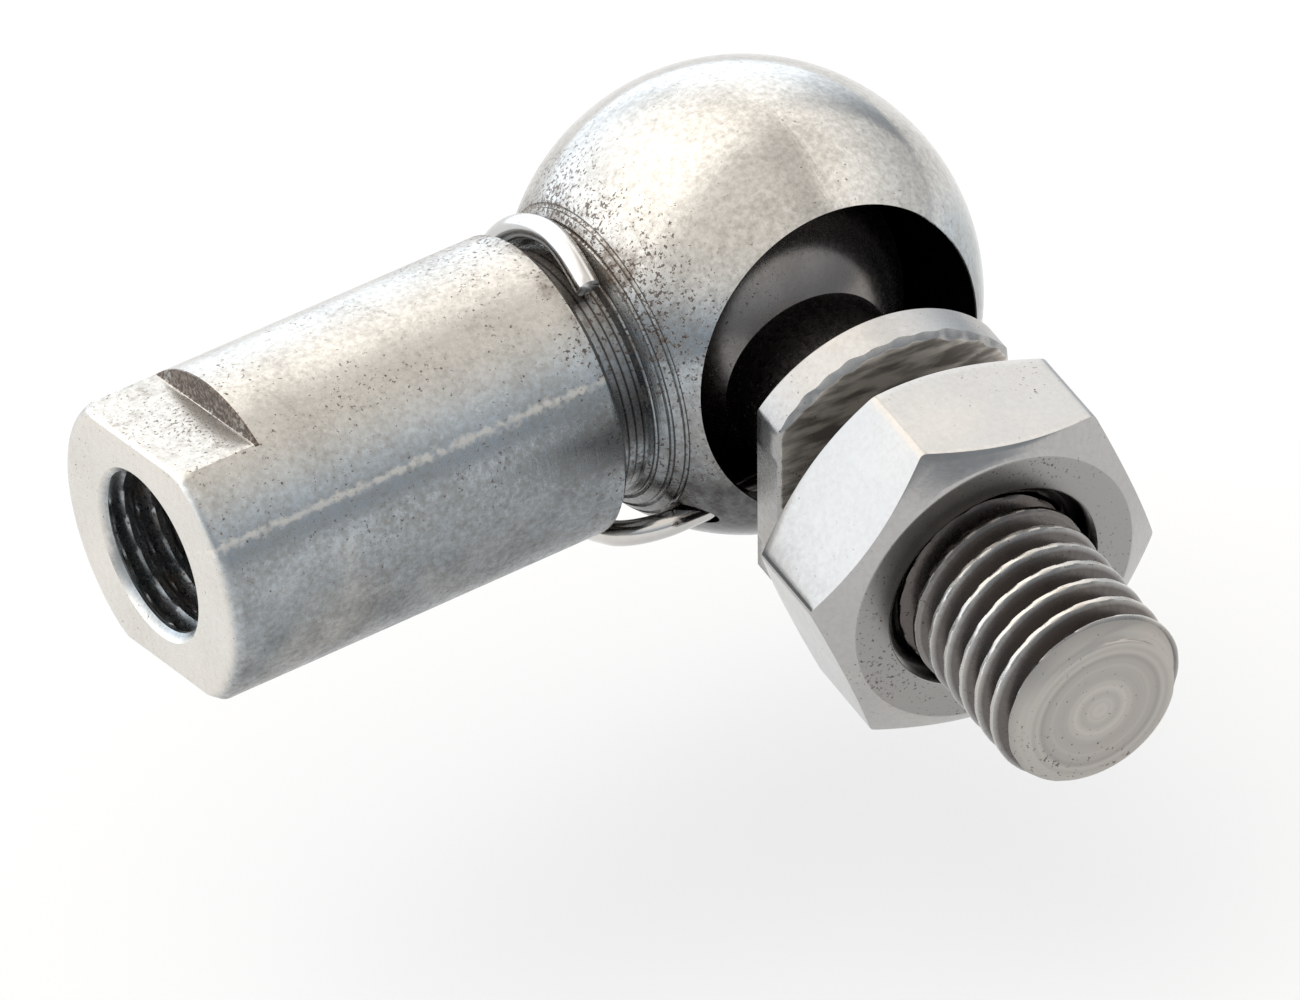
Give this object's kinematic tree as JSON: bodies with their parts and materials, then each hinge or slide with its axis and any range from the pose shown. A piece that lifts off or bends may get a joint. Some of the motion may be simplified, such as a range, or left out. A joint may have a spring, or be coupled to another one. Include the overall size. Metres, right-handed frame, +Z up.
{
  "type": "angle ball joint rod end",
  "caption": "Stainless angle ball joint: a round-headed socket with a tapped shank holds a ball stud with a hexagon nut, and a wire clip keeps the ball in.",
  "frame": {"origin": "centre of the shank's end face, at the mouth of its tapped hole", "axes": "+X along the shank towards the ball, -Y out of the mouth of the ball's seat, +Z up"},
  "size_m": [0.047, 0.0474, 0.0263],
  "materials": {
    "socket_steel": "satin turned",
    "stud_steel": "turned and rolled",
    "nut_steel": "satin",
    "clip_wire": "drawn, bright"
  },
  "bodies": {
    "socket": {"ball_socket": "socket_steel"},
    "stud": {"ball_stud": "stud_steel"},
    "nut": {"hex_nut": "nut_steel"},
    "clip": {"safety_clip": "clip_wire"}
  },
  "joints": [
    {"name": "stud_tilt", "type": "hinge", "parent": "socket", "child": "stud", "pos_m": [0.035, 0, 0], "axis": [-1, 0, 0], "range_deg": [0, 30.7]},
    {"name": "nut_turn", "type": "hinge", "parent": "stud", "child": "nut", "pos_m": [0.03328, -0.02091, -0.00471], "axis": [-0.0802, -0.9724, -0.2191], "continuous": true},
    {"name": "clip_swing", "type": "hinge", "parent": "socket", "child": "clip", "pos_m": [0.035, -0.00587, -0.00683], "axis": [-1, 0, 0], "range_deg": [0, 90], "deforming": ["safety_clip"]}
  ]
}
